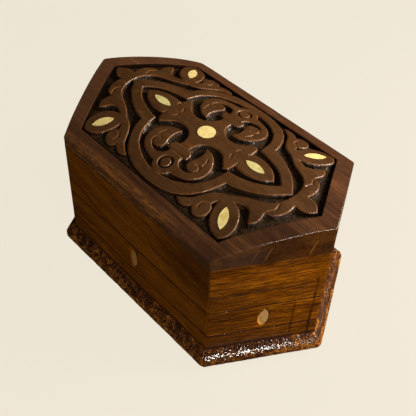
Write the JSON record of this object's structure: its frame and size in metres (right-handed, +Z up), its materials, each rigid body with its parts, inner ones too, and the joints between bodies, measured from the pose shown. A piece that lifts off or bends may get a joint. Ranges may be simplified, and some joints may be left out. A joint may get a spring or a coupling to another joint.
{
  "type": "wooden puzzle box",
  "caption": "Long hexagonal wooden box with a crowned carved lid, pearl inlays, a sliding front strip that hides the keyhole and a second strip that hides the key.",
  "frame": {"origin": "middle of the underside, on the surface that the box stands on", "axes": "+X towards the right-hand tip of the long hexagon, -Y towards the front side with the hidden keyhole, +Z up"},
  "size_m": [0.1816, 0.1098, 0.0915],
  "materials": {
    "dark_wood": "dark stained wood under a satin varnish",
    "golden_wood": "golden brown straight-grained wood under a satin varnish",
    "burl_wood": "mottled burl under a thick gloss varnish",
    "pearl": "polished cream mother-of-pearl",
    "pale_wood": "pale lemon-wood inlay under varnish",
    "brass": "dull aged brass",
    "steel": "plain steel"
  },
  "bodies": {
    "base": {"bottom_board": "dark_wood", "plinth_front": "burl_wood", "plinth_front_right": "burl_wood", "plinth_back_right": "burl_wood", "plinth_back": "burl_wood", "plinth_back_left": "burl_wood", "plinth_front_left": "burl_wood", "base_wall_front": "dark_wood", "base_wall_front_right": "golden_wood", "base_wall_back_right": "golden_wood", "base_wall_back": "dark_wood", "base_wall_back_left": "golden_wood", "base_wall_front_left": "golden_wood", "band_back_right": "golden_wood", "eye_back_right": "pale_wood", "band_back": "dark_wood", "eye_back": "pale_wood", "band_back_left": "golden_wood", "eye_back_left": "pale_wood", "band_front_left": "golden_wood", "eye_front_left": "pale_wood", "key_pocket_back": "dark_wood", "key": "brass", "strip_stop_pins": "brass", "keyhole_escutcheon": "brass", "lock_case": "brass", "lock_spring": "steel", "lock_drill_pin": "steel", "lock_screws": "brass", "hinge_base_leaf_left": "brass", "hinge_pin_left": "steel", "hinge_base_leaf_right": "brass", "hinge_pin_right": "steel", "hinge_base_screws": "brass"},
    "lid": {"hinge_lid_leaf_left": "brass", "hinge_lid_leaf_right": "brass", "hinge_lid_screws": "brass", "lid_wall_front": "dark_wood", "lid_wall_front_right": "golden_wood", "lid_wall_back_right": "golden_wood", "lid_wall_back": "dark_wood", "lid_wall_back_left": "golden_wood", "lid_wall_front_left": "golden_wood", "lid_plank": "dark_wood", "centre_inlay": "pearl", "axis_inlay_left": "pearl", "axis_inlay_right": "pearl", "corner_inlay_front_right": "pearl", "corner_inlay_back_right": "pearl", "corner_inlay_back_left": "pearl", "corner_inlay_front_left": "pearl", "strike_plate": "brass", "strike_screws": "brass"},
    "front_strip": {"band_front": "dark_wood", "eye_front": "pale_wood"},
    "key_strip": {"band_front_right": "golden_wood", "eye_front_right": "pale_wood"},
    "bolt": {"lock_bolt": "brass"}
  },
  "joints": [
    {"name": "lid_hinge", "type": "hinge", "parent": "base", "child": "lid", "pos_m": [0, 0.04686, 0.054], "axis": [-1, 0, 0], "range_deg": [0, 100]},
    {"name": "front_strip_slide", "type": "slide", "parent": "base", "child": "front_strip", "axis": [-1, 0, 0], "range_m": [0, 0.07]},
    {"name": "key_strip_slide", "type": "slide", "parent": "base", "child": "key_strip", "axis": [0.5, 0.866, 0], "range_m": [0, 0.038]},
    {"name": "bolt_slide", "type": "slide", "parent": "base", "child": "bolt", "axis": [1, 0, 0], "range_m": [0, 0.004]}
  ]
}
